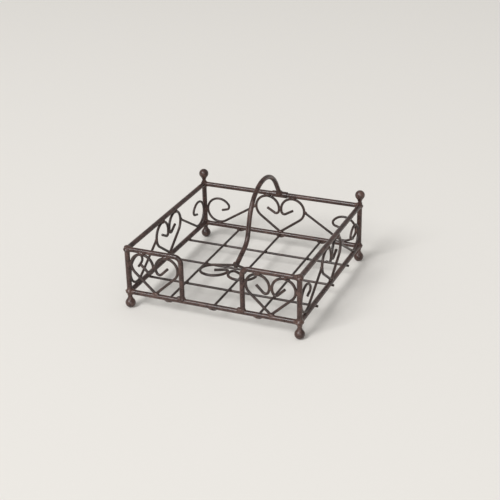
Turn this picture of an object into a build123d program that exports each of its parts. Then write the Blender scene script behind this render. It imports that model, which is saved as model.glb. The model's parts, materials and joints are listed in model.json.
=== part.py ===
from build123d import *
import os
from math import asin, atan2, cos, degrees, hypot, radians, sin, sqrt

# A flat table holder of welded steel rod: a square open tray on four ball feet, heart scrolls in
# its walls, and a bent arm that swings on the rear top rail and ends in a lying heart.
# Millimetres. X runs to the right, Y to the rear, Z up from the table.

# Frame of posts and rails
post_spacing = 190.0
side_height = 49.3
post_diameter = 5.5
post_cap_radius = 1.5
post_cap_rise = 0.8
rail_diameter = 5.3
hoop_diameter = 5.2
hoop_bend_radius = 7.0
front_gap = 67.5

# Ball feet and finials
ball_diameter = 10.8
foot_neck_diameter = 4.4
foot_neck_start = 4.0
foot_drop = 13.0
foot_flat_depth = 0.3
finial_neck_diameter = 4.0
finial_rise = 12.7

# Heart scrolls in the walls
heart_wire_diameter = 2.9
weld_bed = 0.1
heart_hook_radius = 3.4
heart_tail_length = 10.0
front_hook_angle = 205.0
front_tail_angle = 45.0
side_lobe_radius = 14.0
side_hook_angle = 194.0
side_tail_angle = 30.0

# Wing scrolls between the hearts and the posts
wing_wire_diameter = 2.7
wing_curl_radius = 14.5
wing_hook_radius = 4.0
wing_hook_angle = 145.0
wing_tail_length = 6.0
wing_tail_angle = -15.0

# Base grid
base_wire_diameter = 2.6
base_wire_spacing = 50.0
base_wire_overhang = 0.3

# Hinge and arm
hinge_clearance = 0.08
sleeve_wall = 0.9
moving_gap = 0.4
arm_diameter = 5.2
arm_peak_reach = 62.0
arm_peak_rise = 93.0
arm_arch_radius = 44.0
arm_knee_reach = 97.0
arm_knee_drop = 18.0
arm_knee_radius = 18.0
arm_toe_reach = 128.5
arm_toe_drop = 32.0

# Lying heart at the arm's toe
weight_lobe_radius = 14.6
weight_lobe_reach = 22.0
weight_hook_angle = 193.0
weight_tail_angle = 30.0
weight_tilt_angle = 4.5
weight_inset = 1.5

# One overrun for wire ends that are cut back to what they meet
overrun = 3.0

# Places that follow from the sizes above
post_radius = post_diameter / 2
rail_radius = rail_diameter / 2
hoop_radius = hoop_diameter / 2
ball_radius = ball_diameter / 2
heart_wire_radius = heart_wire_diameter / 2
wing_wire_radius = wing_wire_diameter / 2
half_spacing = post_spacing / 2
half_gap = front_gap / 2
bottom_level = foot_drop + ball_radius - foot_flat_depth
top_level = bottom_level + side_height
heart_tip_level = bottom_level + rail_radius
post_foot_level = bottom_level - foot_neck_start
post_top_level = top_level + rail_radius + post_cap_rise
front_panel_start = half_gap + hoop_radius
front_panel_end = half_spacing - post_radius
front_lobe_radius = (front_panel_end - front_panel_start) / 4 - heart_wire_radius + weld_bed
front_lobe_rise = side_height - rail_radius - hoop_radius + weld_bed - heart_wire_radius - front_lobe_radius
side_lobe_rise = side_height - rail_diameter + weld_bed - heart_wire_radius - side_lobe_radius

left = Vector(-1, 0, 0)
right = Vector(1, 0, 0)
front = Vector(0, -1, 0)
rear = Vector(0, 1, 0)
up = Vector(0, 0, 1)
down = Vector(0, 0, -1)

made = {}


def keep(builder, label):
    """Names a finished piece, writes it and keeps it for the pieces that seat on it."""
    builder.part.label = label
    export_step(builder.part, f"parts/{label}.step")
    made[label] = builder.part


def pieces(*labels):
    return [made[label] for label in labels]


def add_straight_rod(label, start, end, diameter, seats=()):
    """A round rod between two points, its ends coped to the pieces it is welded to."""
    run = end - start
    with BuildPart() as rod:
        with BuildSketch(Plane(origin=start, z_dir=run)):
            Circle(diameter / 2)
        extrude(amount=run.length)
        for seat in seats:
            add(seat, mode=Mode.SUBTRACT)
    keep(rod, label)


def add_post(label, x, y, domed):
    """A corner post, with its top rounded over where no finial stands on it."""
    with BuildPart() as post:
        with BuildSketch(Plane(origin=(x, y, post_foot_level))):
            Circle(post_radius)
        extrude(amount=post_top_level - post_foot_level)
        if domed:
            fillet(post.edges().sort_by(Axis.Z)[-1], radius=post_cap_radius)
    keep(post, label)


def add_ball_end(label, base, direction, neck_radius, ball_distance, flat_depth):
    """A turned ball on a hollow-sided neck, cut flat where it stands.

    The neck's side is an arc that leaves the post straight and meets the ball at a tangent.
    """
    flare_radius = ((neck_radius ** 2 + ball_distance ** 2 - ball_radius ** 2)
                    / (2 * (ball_radius - neck_radius)))
    flare_across = neck_radius + flare_radius
    flare_turn = degrees(atan2(ball_distance, flare_across))
    flat_start = degrees(asin((ball_radius - flat_depth) / ball_radius))
    crown = ball_distance + ball_radius - flat_depth
    section = Plane(origin=base, x_dir=right, z_dir=right.cross(direction))
    with BuildPart() as ball_end:
        with BuildSketch(section):
            with BuildLine():
                Line((0, 0), (neck_radius, 0))
                CenterArc((flare_across, 0), flare_radius, 180, -flare_turn)
                ball = CenterArc((0, ball_distance), ball_radius, -flare_turn, flat_start + flare_turn)
                if flat_depth:
                    Line(ball @ 1, (0, crown))
                Line((0, crown), (0, 0))
            make_face()
        revolve(axis=Axis(base, direction))
    keep(ball_end, label)


def add_hoop(label, outward, seats):
    """Top bar from a front post, bent down into the upright that flanks the front gap."""
    with BuildPart() as hoop:
        with BuildLine(Plane(origin=front * half_spacing, x_dir=outward, z_dir=outward.cross(up))) as route:
            FilletPolyline((half_spacing, top_level), (half_gap, top_level), (half_gap, bottom_level),
                           radius=hoop_bend_radius)
        with BuildSketch(Plane(origin=route.line @ 0, z_dir=route.line % 0)):
            Circle(hoop_radius)
        sweep()
        for seat in seats:
            add(seat, mode=Mode.SUBTRACT)
    keep(hoop, label)


def draw_scroll(start, lead, centre, curl_radius, hook_radius, hook_angle, tail_angle, tail_length):
    """Straight run that meets a round curl at a tangent, then a tighter hook and a straight tail.

    The run begins a lead ahead of its start, so that its end can be cut back to what it meets.
    """
    across = centre[0] - start[0]
    rise = centre[1] - start[1]
    reach = hypot(across, rise)
    run_angle = degrees(atan2(rise, across) - asin(curl_radius / reach))
    run_length = sqrt(reach ** 2 - curl_radius ** 2)
    lead_x = start[0] - lead * cos(radians(run_angle))
    lead_y = start[1] - lead * sin(radians(run_angle))
    PolarLine((lead_x, lead_y), lead + run_length, angle=run_angle)
    curl_start = run_angle - 90
    CenterArc(centre, curl_radius, curl_start, hook_angle - curl_start)
    hook_x = centre[0] + (curl_radius - hook_radius) * cos(radians(hook_angle))
    hook_y = centre[1] + (curl_radius - hook_radius) * sin(radians(hook_angle))
    hook_end = tail_angle + 270
    hook = CenterArc((hook_x, hook_y), hook_radius, hook_angle, hook_end - hook_angle)
    PolarLine(hook @ 1, tail_length, angle=tail_angle)


def add_heart_wire(label, tip, outward, upward, lobe_radius, lobe_rise, hook_angle, tail_angle, seats):
    """Half a heart: one wire from the tip round a lobe, cut flat where it meets its mirrored half."""
    lobe_centre = (heart_wire_radius - weld_bed + lobe_radius, lobe_rise)
    with BuildPart() as heart_wire:
        with BuildLine(Plane(origin=tip, x_dir=outward, z_dir=outward.cross(upward))) as route:
            draw_scroll((0, 0), overrun, lobe_centre, lobe_radius, heart_hook_radius, hook_angle,
                        tail_angle, heart_tail_length)
        with BuildSketch(Plane(origin=route.line @ 0, z_dir=route.line % 0)):
            Circle(heart_wire_radius)
        sweep()
        split(bisect_by=Plane(origin=tip, z_dir=outward), keep=Keep.TOP)
        for seat in seats:
            add(seat, mode=Mode.SUBTRACT)
    keep(heart_wire, label)


def add_wing_wire(label, tip, outward, seats):
    """A wing scroll: from the heart's widest point down on to the rail, up beside the post and back."""
    heart_reach = heart_wire_radius - weld_bed + 2 * side_lobe_radius
    curl_reach = half_spacing - post_radius - wing_wire_radius + weld_bed - wing_curl_radius
    curl_rise = wing_wire_radius - weld_bed + wing_curl_radius
    with BuildPart() as wing_wire:
        with BuildLine(Plane(origin=tip, x_dir=outward, z_dir=outward.cross(up))) as route:
            draw_scroll((heart_reach, side_lobe_rise), 0, (curl_reach, curl_rise), wing_curl_radius,
                        wing_hook_radius, wing_hook_angle, wing_tail_angle, wing_tail_length)
        with BuildSketch(Plane(origin=route.line @ 0, z_dir=route.line % 0)):
            Circle(wing_wire_radius)
        sweep()
        for seat in seats:
            add(seat, mode=Mode.SUBTRACT)
    keep(wing_wire, label)


os.makedirs("parts", exist_ok=True)

# Corner posts, feet and finials
for y_name, y in (("front", -half_spacing), ("rear", half_spacing)):
    for x_name, x in (("left", -half_spacing), ("right", half_spacing)):
        corner = f"{y_name}_{x_name}"
        add_post(f"{corner}_post", x, y, domed=y_name == "front")
        add_ball_end(f"{corner}_foot", Vector(x, y, post_foot_level), down, foot_neck_diameter / 2,
                     foot_drop - foot_neck_start, foot_flat_depth)
        if y_name == "rear":
            add_ball_end(f"{corner}_finial", Vector(x, y, post_top_level), up, finial_neck_diameter / 2,
                         top_level + finial_rise - post_top_level, 0)

# Rails between the front posts and between the rear posts
for y_name, y in (("front", -half_spacing), ("rear", half_spacing)):
    add_straight_rod(f"{y_name}_bottom_rail", Vector(-half_spacing, y, bottom_level),
                     Vector(half_spacing, y, bottom_level), rail_diameter,
                     pieces(f"{y_name}_left_post", f"{y_name}_right_post"))
add_straight_rod("rear_top_rail", Vector(-half_spacing, half_spacing, top_level),
                 Vector(half_spacing, half_spacing, top_level), rail_diameter,
                 pieces("rear_left_post", "rear_right_post"))

# Front hoops either side of the gap for the hand
for x_name, outward in (("left", left), ("right", right)):
    add_hoop(f"front_{x_name}_hoop", outward, pieces(f"front_{x_name}_post", "front_bottom_rail"))

# Side rails, coped to the posts and to the front and rear members beside them
for x_name, x in (("left", -half_spacing), ("right", half_spacing)):
    posts = (f"front_{x_name}_post", f"rear_{x_name}_post")
    add_straight_rod(f"{x_name}_bottom_rail", Vector(x, -half_spacing, bottom_level),
                     Vector(x, half_spacing, bottom_level), rail_diameter,
                     pieces(*posts, "front_bottom_rail", "rear_bottom_rail"))
    add_straight_rod(f"{x_name}_top_rail", Vector(x, -half_spacing, top_level),
                     Vector(x, half_spacing, top_level), rail_diameter,
                     pieces(*posts, f"front_{x_name}_hoop", "rear_top_rail"))

# Front hearts, wide enough to bed against both the post and the upright
for x_name, outward in (("left", left), ("right", right)):
    tip = outward * ((front_panel_start + front_panel_end) / 2) + front * half_spacing + up * heart_tip_level
    seats = pieces("front_bottom_rail", f"front_{x_name}_hoop", f"front_{x_name}_post")
    for half_name, half_outward in (("left", left), ("right", right)):
        add_heart_wire(f"front_{x_name}_heart_{half_name}", tip, half_outward, up, front_lobe_radius,
                       front_lobe_rise, front_hook_angle, front_tail_angle, seats)

# Hearts and wings of the two sides and the rear
walls = (
    ("left", left, (("front", front), ("rear", rear))),
    ("right", right, (("front", front), ("rear", rear))),
    ("rear", rear, (("left", left), ("right", right))),
)
for wall, facing, halves in walls:
    tip = facing * half_spacing + up * heart_tip_level
    rails = pieces(f"{wall}_bottom_rail", f"{wall}_top_rail")
    for half_name, outward in halves:
        corner = f"rear_{half_name}" if wall == "rear" else f"{half_name}_{wall}"
        add_heart_wire(f"{wall}_heart_{half_name}", tip, outward, up, side_lobe_radius, side_lobe_rise,
                       side_hook_angle, side_tail_angle, rails)
        add_wing_wire(f"{wall}_wing_{half_name}", tip, outward,
                      pieces(f"{wall}_heart_{half_name}", f"{corner}_post", f"{wall}_bottom_rail"))

# Base grid: runners butted between the front and rear rails, cross wires under them and the side rails
cross_level = bottom_level - rail_radius - base_wire_diameter / 2 + weld_bed
runner_level = cross_level + base_wire_diameter - weld_bed
cross_reach = half_spacing + rail_radius + base_wire_overhang
runner_names = []
for name, x in (("left", -base_wire_spacing), ("middle", 0), ("right", base_wire_spacing)):
    runner_names.append(f"base_runner_{name}")
    add_straight_rod(runner_names[-1], Vector(x, -half_spacing, runner_level),
                     Vector(x, half_spacing, runner_level), base_wire_diameter,
                     pieces("front_bottom_rail", "rear_bottom_rail"))
for name, y in (("front", -base_wire_spacing), ("middle", 0), ("rear", base_wire_spacing)):
    add_straight_rod(f"base_cross_{name}", Vector(-cross_reach, y, cross_level),
                     Vector(cross_reach, y, cross_level), base_wire_diameter,
                     pieces("left_bottom_rail", "right_bottom_rail", *runner_names))

# Hinge sleeve, as long as the rear heart's two lobes leave room for
hinge = rear * half_spacing + up * top_level
sleeve_bore_radius = rail_radius + hinge_clearance
sleeve_radius = sleeve_bore_radius + sleeve_wall
lobe_outer_radius = side_lobe_radius + heart_wire_radius
lobe_drop = sleeve_radius - rail_radius + weld_bed + moving_gap
lobe_shoulder = sqrt(lobe_outer_radius ** 2 - (lobe_outer_radius - lobe_drop) ** 2)
sleeve_half_length = heart_wire_radius - weld_bed + side_lobe_radius - lobe_shoulder
with BuildPart() as hinge_sleeve:
    with BuildSketch(Plane(origin=hinge, z_dir=right)):
        Circle(sleeve_radius)
        Circle(sleeve_bore_radius, mode=Mode.SUBTRACT)
    extrude(amount=sleeve_half_length, both=True)
keep(hinge_sleeve, "hinge_sleeve")

# Arm rod: leg, arch, drop and toe in one bent piece, its foot coped round the sleeve
with BuildPart() as arm_rod:
    with BuildLine(Plane(origin=hinge, x_dir=front, z_dir=front.cross(up))) as arm_route:
        FilletPolyline((0, 0), (arm_peak_reach, arm_peak_rise), (arm_knee_reach, -arm_knee_drop),
                       (arm_toe_reach, -arm_toe_drop), radius=(arm_arch_radius, arm_knee_radius))
    with BuildSketch(Plane(origin=arm_route.line @ 0, z_dir=arm_route.line % 0)):
        Circle(arm_diameter / 2)
    sweep()
    with BuildSketch(Plane(origin=hinge, z_dir=right)):
        Circle(sleeve_radius)
    extrude(amount=sleeve_half_length, both=True, mode=Mode.SUBTRACT)
keep(arm_rod, "arm_rod")

# Lying heart, its two wires welded into the sides of the arm's toe
toe = arm_route.line @ 1
weight_tip = toe - (arm_route.line % 1) * weight_inset
weight_lie = front * cos(radians(weight_tilt_angle)) + up * sin(radians(weight_tilt_angle))
for half_name, outward in (("left", left), ("right", right)):
    add_heart_wire(f"weight_heart_{half_name}", weight_tip, outward, weight_lie, weight_lobe_radius,
                   weight_lobe_reach, weight_hook_angle, weight_tail_angle, pieces("arm_rod"))
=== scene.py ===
import json
import math
from collections import namedtuple
import bpy
import numpy as np
from mathutils import Matrix, Vector


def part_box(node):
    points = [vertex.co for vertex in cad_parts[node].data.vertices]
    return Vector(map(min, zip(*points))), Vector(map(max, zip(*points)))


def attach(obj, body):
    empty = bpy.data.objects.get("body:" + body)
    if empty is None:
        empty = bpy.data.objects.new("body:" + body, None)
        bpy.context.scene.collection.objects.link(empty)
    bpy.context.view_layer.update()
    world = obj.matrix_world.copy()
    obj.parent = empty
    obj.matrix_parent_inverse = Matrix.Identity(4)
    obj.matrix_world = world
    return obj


# Looks of a holder of welded wire: its paint, welds and wire ends, and the studio that it stands in

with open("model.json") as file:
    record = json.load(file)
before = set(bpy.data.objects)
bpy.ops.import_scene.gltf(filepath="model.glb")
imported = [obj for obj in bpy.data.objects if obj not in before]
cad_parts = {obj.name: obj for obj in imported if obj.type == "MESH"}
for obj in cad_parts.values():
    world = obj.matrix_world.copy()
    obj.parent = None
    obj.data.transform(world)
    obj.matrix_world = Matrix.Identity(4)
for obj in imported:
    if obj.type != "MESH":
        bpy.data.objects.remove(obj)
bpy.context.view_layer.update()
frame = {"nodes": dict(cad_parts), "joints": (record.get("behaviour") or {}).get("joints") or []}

MM = 0.001
X, Y, Z = np.eye(3)
SIDES = (-1, 1)


# Sizes of the holder in metres, read from its solids

def half_size(node, axis):
    """Half of a node's box along an axis: the radius of a rod that lies square to that axis."""
    low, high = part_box(node)
    return getattr(high - low, axis) / 2


def middle(node, axis):
    """The middle of a node's box along an axis: where a rod square to that axis lies."""
    low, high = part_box(node)
    return getattr(high + low, axis) / 2


# Radii of rods and wires, and how deep a wire beds into what it is welded to
POST_RADIUS = half_size("front_right_post", "y")
RAIL_RADIUS = half_size("right_bottom_rail", "z")
HOOP_RADIUS = half_size("front_right_hoop", "y")
HEART_RADIUS = half_size("right_heart_front", "x")
WING_RADIUS = half_size("right_wing_front", "x")
BASE_RADIUS = half_size("base_cross_front", "z")
ARM_RADIUS = half_size("arm_rod", "x")
WELD_BED = 0.1 * MM

# Walls: half the spacing of the posts, half the gap in front, and the levels of rails and heart tips
HALF_SPACING = middle("right_bottom_rail", "x")
HALF_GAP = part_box("front_right_hoop")[0].x + HOOP_RADIUS
BOTTOM_LEVEL = middle("right_bottom_rail", "z")
TOP_LEVEL = middle("right_top_rail", "z")
TIP_LEVEL = BOTTOM_LEVEL + RAIL_RADIUS

# Scrollwork: radii of lobes and curls, and where their middles lie from the heart's tip
FRONT_HEART_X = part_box("front_right_heart_left")[1].x
FRONT_LOBE = (HALF_SPACING - POST_RADIUS - HALF_GAP - HOOP_RADIUS) / 4 - HEART_RADIUS + WELD_BED
FRONT_RISE = TOP_LEVEL - HOOP_RADIUS + WELD_BED - HEART_RADIUS - FRONT_LOBE - TIP_LEVEL
SIDE_LOBE = half_size("right_heart_front", "y") + WELD_BED / 2 - HEART_RADIUS
SIDE_RISE = TOP_LEVEL - RAIL_RADIUS + WELD_BED - HEART_RADIUS - SIDE_LOBE - TIP_LEVEL
WING_CURL = (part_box("right_wing_front")[1].z - TIP_LEVEL + WELD_BED) / 2 - WING_RADIUS
WING_CURL_REACH = HALF_SPACING - POST_RADIUS - WING_RADIUS + WELD_BED - WING_CURL
WING_CURL_RISE = WING_RADIUS - WELD_BED + WING_CURL

# Base grid: runners from front to rear, cross wires from side to side
BASE_SPACING = middle("base_runner_right", "x")
RUNNER_LEVEL = middle("base_runner_right", "z")
CROSS_LEVEL = middle("base_cross_front", "z")
CROSS_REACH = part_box("base_cross_front")[1].x

# The bent arm's corners from its hinge, and the lying heart that is let into its toe
HINGE = np.array(frame["joints"][0]["pos_m"])
ARM_PEAK = np.array([0, -62.0, 93.0]) * MM
ARM_KNEE = np.array([0, -97.0, -18.0]) * MM
ARM_TOE = np.array([0, -128.5, -32.0]) * MM
WEIGHT_INSET = 1.5 * MM
WEIGHT_TILT = math.radians(4.5)
WEIGHT_REACH = 22.0 * MM
WEIGHT_LOBE = half_size("weight_heart_right", "x") + WELD_BED / 2 - HEART_RADIUS

# Every weld and wire end draws its lumps from a seed of its own, so that no two are alike and each run
# gives the same ones. These are the first seed of each group of joints and the steps to the next joint.
CORNER_SEED = 10
HOOP_SEED = 90
FRONT_HEART_SEED = 200
WINGED_HEART_SEED = 280
BASE_SEED = 500
ARM_SEED = 600
WEIGHT_SEED = 610
JOINT_STEP = 3
HEART_STEP = 40

# How a scroll ends: its curl, the tighter hook at a set angle, the straight tail, and the seed of the
# paint on its end, counted from its heart's
Scroll = namedtuple("Scroll", "curl hook hook_angle tail_angle tail_length seed")
HEART_HOOK = 3.4 * MM
HEART_TAIL = 10.0 * MM
WING_HOOK = 4.0 * MM
WING_TAIL = 6.0 * MM
FRONT_SCROLL = Scroll(FRONT_LOBE, HEART_HOOK, math.radians(205), math.radians(45), HEART_TAIL, 7)
SIDE_SCROLL = Scroll(SIDE_LOBE, HEART_HOOK, math.radians(194), math.radians(30), HEART_TAIL, 7)
WEIGHT_SCROLL = Scroll(WEIGHT_LOBE, HEART_HOOK, math.radians(193), math.radians(30), HEART_TAIL, 12)
WING_SCROLL = Scroll(WING_CURL, WING_HOOK, math.radians(145), math.radians(-15), WING_TAIL, 23)

# Weld beads: half length, half width and half depth in millimetres, how lumpy they are, and the seed,
# counted from the joint's or the heart's
Bead = namedtuple("Bead", "half_length half_width half_depth lump seed")
EVEN = 0.22
ROUGH = 0.3
HOOP_BEAD = Bead(3.2, 2.5, 2.5, ROUGH, 4)
TIP_BEAD = Bead(3.9, 2.3, 2.5, EVEN, 0)
CLEFT_BEAD = Bead(3.0, 1.3, 1.55, EVEN, 1)
CROWN_BEAD = Bead(4.4, 2.7, 3.5, ROUGH, 3)
FLANK_BEAD = Bead(3.0, 1.3, 1.6, EVEN, 11)
WING_ROOT_BEAD = Bead(2.4, 1.5, 1.6, EVEN, 15)
WING_POST_BEAD = Bead(3.6, 1.25, 1.6, EVEN, 19)
WING_RAIL_BEAD = Bead(3.6, 1.5, 1.25, EVEN, 27)
RUNNER_BEAD = Bead(5.2, 1.9, 2.4, EVEN, 0)
CROSS_END_BEAD = Bead(3.2, 1.6, 1.4, EVEN, 1)
CROSSING_BEAD = Bead(2.0, 1.5, 0.8, EVEN, 0)
TOE_BEAD = Bead(3.8, 2.4, 2.4, EVEN, 0)
TOE_SIDE_BEAD = Bead(2.2, 1.5, 1.6, EVEN, 2)
CROSS_TIP_SEED = 2
TOE_TIP_SEED = 10

# Weld fillets round a rod: start and reach along the rod and swell in millimetres, and the seed
Fillet = namedtuple("Fillet", "start reach swell seed")
RAIL_FILLET = Fillet(1.8, 6.8, 1.0, 1)
HOOP_FILLET = Fillet(1.9, 6.4, 1.0, 0)
ARM_FILLET = Fillet(3.0, 8.8, 1.3, 0)

# Swellings round a post: lift over the rails, half length and swell in millimetres
Collar = namedtuple("Collar", "lift half_length swell")
BOTTOM_COLLAR = Collar(0.4, 4.3, 1.9)
TOP_COLLAR = Collar(-0.6, 3.6, 1.3)

# Where the beads sit, from the joint or the touching wires that they hold
HOOP_BEAD_PLACE = np.array([-3.0, -1.0, 2.9]) * MM
TOE_SIDE_PLACE = np.array([-2.5, 0.8, 1.2]) * MM
TIP_BEAD_DROP = 0.2 * MM
CROWN_BEAD_LIFT = 0.4 * MM
WING_ROOT_OUT = 0.3 * MM
WING_ROOT_DROP = 0.6 * MM
WING_ROOT_LEAN = math.radians(55.5)
RUNNER_BEAD_INSET = 0.2 * MM
RUNNER_BEAD_DROP = 2.2 * MM

# A fillet, collar or end starts just under the skin of its rod, at this share of the rod's radius
UNDER_SKIN_SHARE = 0.985


# Shapes

def unit(v):
    """A vector's direction: the vector divided by its length."""
    return np.asarray(v, float) / np.linalg.norm(v)


def full_turn(around):
    """A row of even angles once round, without the last, which is the first again."""
    return np.linspace(0, 2 * math.pi, around, endpoint=False)[None, :]


def waves(angle, length, seed, count=5, most_turns=3, least_pitch=1.0, most_pitch=3.0):
    """Slow lumps of a hand-run bead: the mean of a few cosines in angle and length with drawn phases."""
    rng = np.random.default_rng(seed)
    turns = rng.integers(1, most_turns + 1, count)
    pitch = rng.uniform(least_pitch, most_pitch, count)
    phase = rng.uniform(0, 2 * np.pi, (count, 2))
    parts = [np.cos(n * angle + a) * np.cos(p * np.pi * length + b)
             for n, p, (a, b) in zip(turns, pitch, phase)]
    return np.mean(parts, axis=0)


def weld_bead(centre, along, across, bead, seed, pole_gap=0.12, rings=15, around=20):
    """A lens of weld metal. Along its length t from -1 to 1 the ring's radius is the half ellipse
    sqrt(1 - t * t), stretched by the half width and half depth and swollen by slow waves."""
    half_length = bead.half_length * MM
    half_width = bead.half_width * MM
    half_depth = bead.half_depth * MM
    centre = np.asarray(centre)
    along = unit(along)
    across = unit(across)
    through = np.cross(along, across)
    turn = np.linspace(pole_gap, math.pi - pole_gap, rings)[:, None]
    angle = full_turn(around)
    t = -np.cos(turn)
    ring = np.sin(turn) * (1 + bead.lump * waves(angle, t, seed + bead.seed))
    grid = (centre + half_length * t[..., None] * along
            + (half_width * ring * np.cos(angle))[..., None] * across
            + (half_depth * ring * np.sin(angle))[..., None] * through)
    return grid, centre - half_length * along, centre + half_length * along


def skin_round(root, along, place, radius, angle, ends, steep=0.9):
    """A closed skin round an axis: every point has its place along the axis and its radius at its
    angle round it, and a pole closes each end. Angles count from a level side, or on a steep axis from
    the side that is square to X."""
    root = np.asarray(root)
    along = unit(along)
    side = unit(np.cross(along, Z if abs(along[2]) < steep else X))
    other = np.cross(along, side)
    place, radius = np.broadcast_arrays(place, radius)
    grid = (root + place[..., None] * along + (radius * np.cos(angle))[..., None] * side
            + (radius * np.sin(angle))[..., None] * other)
    start, end = ends
    return grid, root + start * along, root + end * along


def weld_fillet(root, along, rod_radius, fillet, seed, lump=0.45, sway=0.35, rings=10, around=28):
    """A fillet round a rod where it runs into another. From the start out to the reach the radius
    falls from the rod's plus the swell to just under the rod's by the square of what is left, and
    the outer edge sways to and fro round the rod."""
    start = fillet.start * MM
    reach = fillet.reach * MM
    run = reach - start
    s = np.linspace(0, 1, rings)[:, None]
    angle = full_turn(around)
    swell = fillet.swell * MM * (1 - s) ** 2 * (1 + lump * waves(angle, s, seed + fillet.seed))
    place = start + run * s + sway * run * s * waves(angle, 0 * s, seed + fillet.seed + 1)
    radius = rod_radius * UNDER_SKIN_SHARE + swell
    return skin_round(root, along, place, radius, angle, (start, reach))


def joint_collar(joint, collar, seed, lump=0.5, steepness=2.1, rings=19, around=32):
    """A swelling round a post at a joint: the radius is just under the post's plus a bell curve of
    the distance along it, swollen by slow waves."""
    half_length = collar.half_length * MM
    s = np.linspace(-1, 1, rings)[:, None]
    angle = full_turn(around)
    bell = np.exp(-(steepness * s) ** 2) - math.exp(-steepness ** 2)
    swell = collar.swell * MM * bell * (1 + lump * waves(angle, s, seed))
    radius = POST_RADIUS * UNDER_SKIN_SHARE + swell
    centre = joint + collar.lift * MM * Z
    return skin_round(centre, Z, half_length * s, radius, angle, (-half_length, half_length))


def rounded_end(end, along, wire_radius, seed, sleeve=1.6, dome=0.42, gather=0.05, bluntness=0.7,
                lump=0.02, sleeve_rings=7, dome_rings=6, around=20):
    """Paint gathered on a cut end: a sleeve that rises by a quarter sine from under the wire's skin
    to a little over it, then a blunt quarter ellipse that closes over the cut. Lengths are in wire
    radii."""
    quarter = math.pi / 2
    back = np.linspace(-sleeve, 0, sleeve_rings)[:, None]
    turn = np.linspace(0, quarter, dome_rings + 2)[1:-1, None]
    angle = full_turn(around)
    place = np.vstack([back, dome * np.sin(turn)])
    rise = UNDER_SKIN_SHARE + gather * np.sin((back + sleeve) / sleeve * quarter)
    radius = np.vstack([rise, (UNDER_SKIN_SHARE + gather) * np.cos(turn) ** bluntness])
    radius = radius * (1 + lump * waves(angle, place, seed))
    ends = (-sleeve * wire_radius, dome * wire_radius)
    return skin_round(end, along, place * wire_radius, radius * wire_radius, angle, ends)


def round_the(centre, radius, angle):
    """The point of a circle at an angle: the centre plus the radius times cosine and sine."""
    return centre + radius * np.array([math.cos(angle), math.sin(angle)])


def scroll_end(centre, scroll, tip, outward, upward, wire_radius, seed):
    """The rounded end of a scroll: round the curl to the hook's angle, round the hook to the tail's
    angle, then straight on for the tail's length, all in the plane of outward and upward."""
    hook_centre = round_the(np.array(centre), scroll.curl - scroll.hook, scroll.hook_angle)
    hook_end = round_the(hook_centre, scroll.hook, scroll.tail_angle - math.pi / 2)
    point = round_the(hook_end, scroll.tail_length, scroll.tail_angle)
    heading = round_the(0, 1, scroll.tail_angle)
    return rounded_end(tip + point[0] * outward + point[1] * upward,
                       heading[0] * outward + heading[1] * upward, wire_radius, seed + scroll.seed)


def closed_faces(rings, around, first):
    """Quads between neighbouring rings and a fan of triangles on the pole at each end."""
    i = np.arange(rings - 1)[:, None] * around
    j = np.arange(around)[None, :]
    k = (j + 1) % around
    quads = np.stack([i + j, i + k, i + around + k, i + around + j], -1).reshape(-1, 4) + first
    low = first + rings * around
    high = low + 1
    j = j.ravel() + first
    k = k.ravel() + first
    last = (rings - 1) * around
    caps = np.vstack([np.stack([np.full(around, low), k, j], 1),
                      np.stack([np.full(around, high), j + last, k + last], 1)])
    return quads.tolist() + caps.tolist()


def add_piece(name, shapes, body, material):
    """One object from closed shapes, each a grid of rings with its two poles."""
    points = []
    faces = []
    first = 0
    for grid, low, high in shapes:
        rings, around = grid.shape[:2]
        points.append(np.vstack([grid.reshape(-1, 3), low[None], high[None]]))
        faces += closed_faces(rings, around, first)
        first += len(points[-1])
    mesh = bpy.data.meshes.new(name)
    mesh.from_pydata(np.vstack(points).tolist(), [], faces)
    mesh.polygons.foreach_set("use_smooth", np.ones(len(mesh.polygons), bool))
    mesh.materials.append(material)
    mesh.update()
    piece = bpy.data.objects.new(name, mesh)
    bpy.context.scene.collection.objects.link(piece)
    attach(piece, body)


# Finishes

def colour(text):
    """An sRGB hex colour as linear red, green, blue and alpha."""
    c = np.array([int(text[k:k + 2], 16) for k in (1, 3, 5)]) / 255
    linear = np.where(c <= 0.04045, c / 12.92, ((c + 0.055) / 1.055) ** 2.4)
    return (*linear, 1.0)


def add_node(tree, kind, links=(), **settings):
    """Adds a node, sets its properties and input values by name, and links what feeds it."""
    made = tree.nodes.new(kind)
    for key, value in settings.items():
        if hasattr(made, key):
            setattr(made, key, value)
        else:
            made.inputs[key.replace("_", " ")].default_value = value
    for source, target in links:
        tree.links.new(source, made.inputs[target])
    return made


CLOUD_SIZE = 9.0 * MM
CLOUD_DETAIL = 3.0
CLOUD_ROUGHNESS = 0.6
MOTTLE_SIZE = 1.4 * MM
MOTTLE_DETAIL = 2.0
MOTTLE_SHARE = 0.45
TONE_MARKS = (0.38, 0.5, 0.64)
GLOSS_MARKS = (0.3, 0.7)
GLOSS_SWING = (-0.06, 0.08)
PEEL_DETAIL = 2.0
SAG_SIZE = 5.0 * MM
SAG_HEIGHT = 0.25 * MM
SAG_DETAIL = 1.0
ENAMEL_IOR = 1.5


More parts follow.
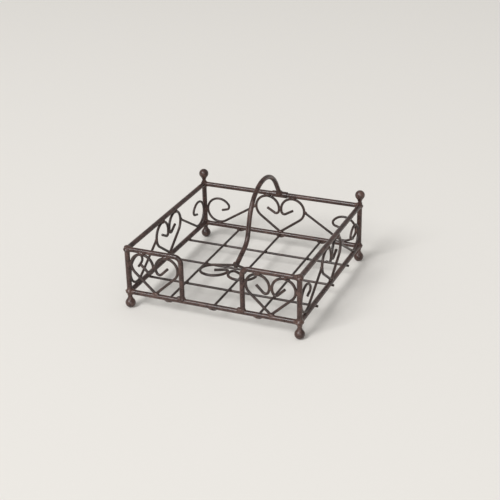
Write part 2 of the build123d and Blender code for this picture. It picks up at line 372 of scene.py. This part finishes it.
def brown_enamel(name, tones, roughness, peel_size, peel_height):
    """Bronze-brown enamel sprayed over drawn steel: clouds of a deeper and a paler brown some 9 mm
    across, a fine mottle, and an uneven satin skin with sags and orange peel."""
    material = bpy.data.materials.new(name)
    material.use_nodes = True
    tree = material.node_tree
    shader = tree.nodes["Principled BSDF"]
    place = add_node(tree, "ShaderNodeTexCoord").outputs["Object"]

    clouds = add_node(tree, "ShaderNodeTexNoise", [(place, "Vector")],
                      Scale=1 / CLOUD_SIZE, Detail=CLOUD_DETAIL, Roughness=CLOUD_ROUGHNESS)
    mottle = add_node(tree, "ShaderNodeTexNoise", [(place, "Vector")],
                      Scale=1 / MOTTLE_SIZE, Detail=MOTTLE_DETAIL)
    mixed = add_node(tree, "ShaderNodeMix",
                     [(clouds.outputs["Fac"], "A"), (mottle.outputs["Fac"], "B")], Factor=MOTTLE_SHARE)
    tone = add_node(tree, "ShaderNodeValToRGB", [(mixed.outputs["Result"], "Fac")])
    marks = tone.color_ramp.elements
    marks.new(TONE_MARKS[1])
    for mark, position, text in zip(marks, TONE_MARKS, tones):
        mark.position = position
        mark.color = colour(text)
    tree.links.new(tone.outputs["Color"], shader.inputs["Base Color"])

    gloss = add_node(tree, "ShaderNodeMapRange", [(clouds.outputs["Fac"], "Value")],
                     From_Min=GLOSS_MARKS[0], From_Max=GLOSS_MARKS[1],
                     To_Min=roughness + GLOSS_SWING[0], To_Max=roughness + GLOSS_SWING[1])
    tree.links.new(gloss.outputs["Result"], shader.inputs["Roughness"])

    peel = add_node(tree, "ShaderNodeTexNoise", [(place, "Vector")],
                    Scale=1 / peel_size, Detail=PEEL_DETAIL)
    sags = add_node(tree, "ShaderNodeTexNoise", [(place, "Vector")],
                    Scale=1 / SAG_SIZE, Detail=SAG_DETAIL)
    peeled = add_node(tree, "ShaderNodeBump", [(peel.outputs["Fac"], "Height")],
                      Strength=1.0, Distance=peel_height)
    sagged = add_node(tree, "ShaderNodeBump",
                      [(sags.outputs["Fac"], "Height"), (peeled.outputs["Normal"], "Normal")],
                      Strength=1.0, Distance=SAG_HEIGHT)
    tree.links.new(sagged.outputs["Normal"], shader.inputs["Normal"])
    shader.inputs["IOR"].default_value = ENAMEL_IOR
    return material


# Rods and posts: the full brown of the paint, with a satin skin
rod_paint = brown_enamel("bronze_brown_enamel_on_rod", tones=("#2a1c19", "#3e2a25", "#5a443d"),
                         roughness=0.29, peel_size=0.9 * MM, peel_height=0.05 * MM)
# Scroll wire: the same paint in a thinner, darker coat
wire_paint = brown_enamel("bronze_brown_enamel_on_wire", tones=("#231a18", "#342622", "#4c3b36"),
                          roughness=0.34, peel_size=0.8 * MM, peel_height=0.04 * MM)
# Welds: the paint pools there, glossier over a rough bead; its tones are paler as a painted highlight
# where the beads catch the light
weld_paint = brown_enamel("bronze_brown_enamel_over_weld", tones=("#2c1e1a", "#442f29", "#654e46"),
                          roughness=0.27, peel_size=1.3 * MM, peel_height=0.12 * MM)

THIN = ("heart", "wing", "base")
for name, solid in frame["nodes"].items():
    solid.data.materials.clear()
    solid.data.materials.append(wire_paint if any(word in name for word in THIN) else rod_paint)


# Corner posts and hoops

def corner_welds():
    """A swelling round each post at each joint, and a fillet round each rail that runs into it."""
    shapes = []
    seed = CORNER_SEED
    for x_side in SIDES:
        for y_side in SIDES:
            for level, collar in ((BOTTOM_LEVEL, BOTTOM_COLLAR), (TOP_LEVEL, TOP_COLLAR)):
                joint = np.array([x_side * HALF_SPACING, y_side * HALF_SPACING, level])
                shapes.append(joint_collar(joint, collar, seed))
                for along in (-x_side * X, -y_side * Y):
                    shapes.append(weld_fillet(joint, along, RAIL_RADIUS, RAIL_FILLET, seed))
                    seed += JOINT_STEP
    return shapes


def hoop_foot_welds():
    """A fillet round each hoop's foot on the front rail, and a large spot of weld on its left."""
    shapes = []
    for x_side in SIDES:
        foot = np.array([x_side * HALF_GAP, -HALF_SPACING, BOTTOM_LEVEL])
        seed = HOOP_SEED + x_side
        shapes.append(weld_fillet(foot, Z, HOOP_RADIUS, HOOP_FILLET, seed))
        shapes.append(weld_bead(foot + HOOP_BEAD_PLACE, X, Z, HOOP_BEAD, seed))
    return shapes


add_piece("corner_welds", corner_welds(), "frame", weld_paint)
add_piece("hoop_foot_welds", hoop_foot_welds(), "frame", weld_paint)


# Hearts and wings: the front hearts fill their hoops, and each of the others has two wings

Heart = namedtuple("Heart", "tip across facing scroll rise seed")
FRONT_HEARTS = []
for n, s in enumerate(SIDES):
    tip = s * FRONT_HEART_X * X - HALF_SPACING * Y + TIP_LEVEL * Z
    FRONT_HEARTS.append(Heart(tip, X, -Y, FRONT_SCROLL, FRONT_RISE, FRONT_HEART_SEED + n * HEART_STEP))
WINGED_HEARTS = []
for n, (facing, across) in enumerate(((-X, Y), (X, Y), (Y, X))):
    tip = HALF_SPACING * facing + TIP_LEVEL * Z
    WINGED_HEARTS.append(Heart(tip, across, facing, SIDE_SCROLL, SIDE_RISE,
                               WINGED_HEART_SEED + n * HEART_STEP))


def heart_lobe(heart):
    """The middle of a heart's lobe: its reach from the middle line and its rise over the tip."""
    return HEART_RADIUS - WELD_BED + heart.scroll.curl, heart.rise


def heart_flank(heart, outward):
    """The outermost point of a heart's lobe: the lobe's middle plus its radius and the wire's."""
    reach, rise = heart_lobe(heart)
    return heart.tip + (reach + heart.scroll.curl + HEART_RADIUS) * outward + rise * Z


def heart_welds(heart):
    """Beads under the tip, in the cleft and on both crowns, and on both flanks of a front heart."""
    reach, rise = heart_lobe(heart)
    crown_rise = rise + heart.scroll.curl + HEART_RADIUS + CROWN_BEAD_LIFT
    shapes = [weld_bead(heart.tip - TIP_BEAD_DROP * Z, heart.across, Z, TIP_BEAD, heart.seed),
              weld_bead(heart.tip + rise * Z, Z, heart.across, CLEFT_BEAD, heart.seed)]
    for s in SIDES:
        outward = s * heart.across
        crown = heart.tip + reach * outward + crown_rise * Z
        shapes.append(weld_bead(crown, heart.across, Z, CROWN_BEAD, heart.seed + s))
        if heart.scroll is FRONT_SCROLL:
            flank = heart_flank(heart, outward)
            shapes.append(weld_bead(flank, Z, heart.across, FLANK_BEAD, heart.seed + s))
    return shapes


def wing_welds(heart):
    """Beads on each wing: at its root on the heart's flank, on the post and on the bottom rail."""
    shapes = []
    for s in SIDES:
        outward = s * heart.across
        root = heart_flank(heart, outward) + WING_ROOT_OUT * outward - WING_ROOT_DROP * Z
        run = math.cos(WING_ROOT_LEAN) * outward - math.sin(WING_ROOT_LEAN) * Z
        beside = heart.tip + (HALF_SPACING - POST_RADIUS) * outward + WING_CURL_RISE * Z
        below = heart.tip + WING_CURL_REACH * outward
        seed = heart.seed + s
        shapes += [weld_bead(root, run, heart.facing, WING_ROOT_BEAD, seed),
                   weld_bead(beside, Z, outward, WING_POST_BEAD, seed),
                   weld_bead(below, outward, heart.facing, WING_RAIL_BEAD, seed)]
    return shapes


def scroll_ends(heart):
    """Paint on the cut ends of a heart's two wires, and on those of its wings."""
    shapes = []
    for s in SIDES:
        outward = s * heart.across
        seed = heart.seed + s
        shapes.append(scroll_end(heart_lobe(heart), heart.scroll, heart.tip, outward, Z,
                                 HEART_RADIUS, seed))
        if heart.scroll is SIDE_SCROLL:
            shapes.append(scroll_end((WING_CURL_REACH, WING_CURL_RISE), WING_SCROLL, heart.tip,
                                     outward, Z, WING_RADIUS, seed))
    return shapes


heart_shapes = []
wing_shapes = []
end_shapes = []
for heart in FRONT_HEARTS + WINGED_HEARTS:
    heart_shapes += heart_welds(heart)
    end_shapes += scroll_ends(heart)
for heart in WINGED_HEARTS:
    wing_shapes += wing_welds(heart)
add_piece("heart_welds", heart_shapes, "frame", weld_paint)
add_piece("wing_welds", wing_shapes, "frame", weld_paint)

# Base grid: lumps of weld under the front and rear rails, on the side rails and at the crossings
base_shapes = []
seed = BASE_SEED
for step in (-1, 0, 1):
    place = step * BASE_SPACING
    for s in SIDES:
        runner_end = (place, s * (HALF_SPACING - RUNNER_BEAD_INSET), BOTTOM_LEVEL - RUNNER_BEAD_DROP)
        cross_weld = (s * HALF_SPACING, place, BOTTOM_LEVEL - RAIL_RADIUS)
        cross_end = (s * CROSS_REACH, place, CROSS_LEVEL)
        base_shapes.append(weld_bead(runner_end, X, Y, RUNNER_BEAD, seed))
        base_shapes.append(weld_bead(cross_weld, Y, X, CROSS_END_BEAD, seed))
        end_shapes.append(rounded_end(cross_end, s * X, BASE_RADIUS, seed + CROSS_TIP_SEED))
        seed += JOINT_STEP
    for other in (-1, 0, 1):
        crossing = (place, other * BASE_SPACING, (CROSS_LEVEL + RUNNER_LEVEL) / 2)
        base_shapes.append(weld_bead(crossing, X + Y, X - Y, CROSSING_BEAD, seed))
        seed += 1
add_piece("base_welds", base_shapes, "frame", weld_paint)
add_piece("frame_wire_ends", end_shapes, "frame", wire_paint)

# Arm: a fillet round its foot on the sleeve, and the lying heart's welds and wire ends
lie = math.cos(WEIGHT_TILT) * -Y + math.sin(WEIGHT_TILT) * Z
toe = HINGE + ARM_TOE
toe_run = unit(ARM_TOE - ARM_KNEE)
weight_tip = toe - WEIGHT_INSET * toe_run
weight_lobe = (HEART_RADIUS - WELD_BED + WEIGHT_LOBE, WEIGHT_REACH)
arm_shapes = [
    weld_fillet(HINGE, ARM_PEAK, ARM_RADIUS, ARM_FILLET, ARM_SEED),
    weld_bead(weight_tip, X, toe_run, TOE_BEAD, WEIGHT_SEED),
    weld_bead(weight_tip + TOE_SIDE_PLACE, toe_run, X, TOE_SIDE_BEAD, WEIGHT_SEED),
    weld_bead(weight_tip + WEIGHT_REACH * lie, lie, X, CLEFT_BEAD, WEIGHT_SEED),
]
arm_ends = [rounded_end(toe, toe_run, ARM_RADIUS, WEIGHT_SEED + TOE_TIP_SEED)]
for s in SIDES:
    arm_ends.append(scroll_end(weight_lobe, WEIGHT_SCROLL, weight_tip, s * X, lie, HEART_RADIUS,
                               WEIGHT_SEED + s))
add_piece("arm_welds", arm_shapes, "arm", weld_paint)
add_piece("arm_wire_ends", arm_ends, "arm", wire_paint)


# Studio: pale floor, soft lamps and the camera

CARD_COLOUR = "#e9e6e1"
CARD_ROUGHNESS = 0.9
ROOM_COLOUR = "#f4f3f1"
ROOM_STRENGTH = 0.5
LAMP_AIM = Vector((0, 0, 0.03))
LAMP_SPREAD = math.radians(80)
EYE = np.array([443.9, -1027.2, 570.8]) * MM
AIM = np.array([-15.84, 42.13, 18.1]) * MM
ROLL = math.radians(-1.21)
SENSOR_WIDTH = 36.0
LENS = 82.56


def add_floor(half_side):
    """A flat square of pale matt card: an even, near-white ground with no shine."""
    corners = [(x * half_side, y * half_side, 0) for x, y in ((-1, -1), (1, -1), (1, 1), (-1, 1))]
    mesh = bpy.data.meshes.new("floor")
    mesh.from_pydata(corners, [], [(0, 1, 2, 3)])
    material = bpy.data.materials.new("pale_card")
    material.use_nodes = True
    shader = material.node_tree.nodes["Principled BSDF"]
    shader.inputs["Base Color"].default_value = colour(CARD_COLOUR)
    shader.inputs["Roughness"].default_value = CARD_ROUGHNESS
    mesh.materials.append(material)
    floor = bpy.data.objects.new("floor", mesh)
    bpy.context.scene.collection.objects.link(floor)


def add_lamp(name, place, size, watts):
    """A large square soft box, far off and turned to the object, so that the floor is evenly lit. A
    honeycomb grid narrows its beam, so that the floor under it doesn't clip to white."""
    lamp = bpy.data.lights.new(name, "AREA")
    lamp.shape = "SQUARE"
    lamp.size = size
    lamp.energy = watts
    lamp.spread = LAMP_SPREAD
    turn = (LAMP_AIM - Vector(place)).to_track_quat("-Z", "Y")
    made = bpy.data.objects.new(name, lamp)
    made.matrix_world = Matrix.Translation(place) @ turn.to_matrix().to_4x4()
    bpy.context.scene.collection.objects.link(made)


def add_room():
    """A dim, even, near-white light from all round, which fills the shadows."""
    world = bpy.data.worlds.new("soft_room")
    world.use_nodes = True
    sky = world.node_tree.nodes["Background"]
    sky.inputs["Color"].default_value = colour(ROOM_COLOUR)
    sky.inputs["Strength"].default_value = ROOM_STRENGTH
    bpy.context.scene.world = world


def add_camera():
    """A camera at the eye that faces the aim: its back points away from the aim, its side is level,
    and side and top are then turned by the roll."""
    back = unit(EYE - AIM)
    level = unit(np.cross(Z, back))
    above = np.cross(back, level)
    side = level * math.cos(ROLL) + above * math.sin(ROLL)
    top = above * math.cos(ROLL) - level * math.sin(ROLL)
    camera = bpy.data.objects.new("camera", bpy.data.cameras.new("camera"))
    camera.data.sensor_width = SENSOR_WIDTH
    camera.data.lens = LENS
    turn = Matrix(np.stack([side, top, back], 1).tolist())
    camera.matrix_world = Matrix.Translation(EYE.tolist()) @ turn.to_4x4()
    bpy.context.scene.collection.objects.link(camera)
    bpy.context.scene.camera = camera


add_floor(half_side=24.0)
add_lamp("key_soft_box", place=(-2.52, -6.48, 6.54), size=4.2, watts=133.0)
add_lamp("fill_soft_box", place=(3.3, -7.2, 2.94), size=4.8, watts=45.0)
add_room()
add_camera()
bpy.context.scene.view_settings.view_transform = "Standard"
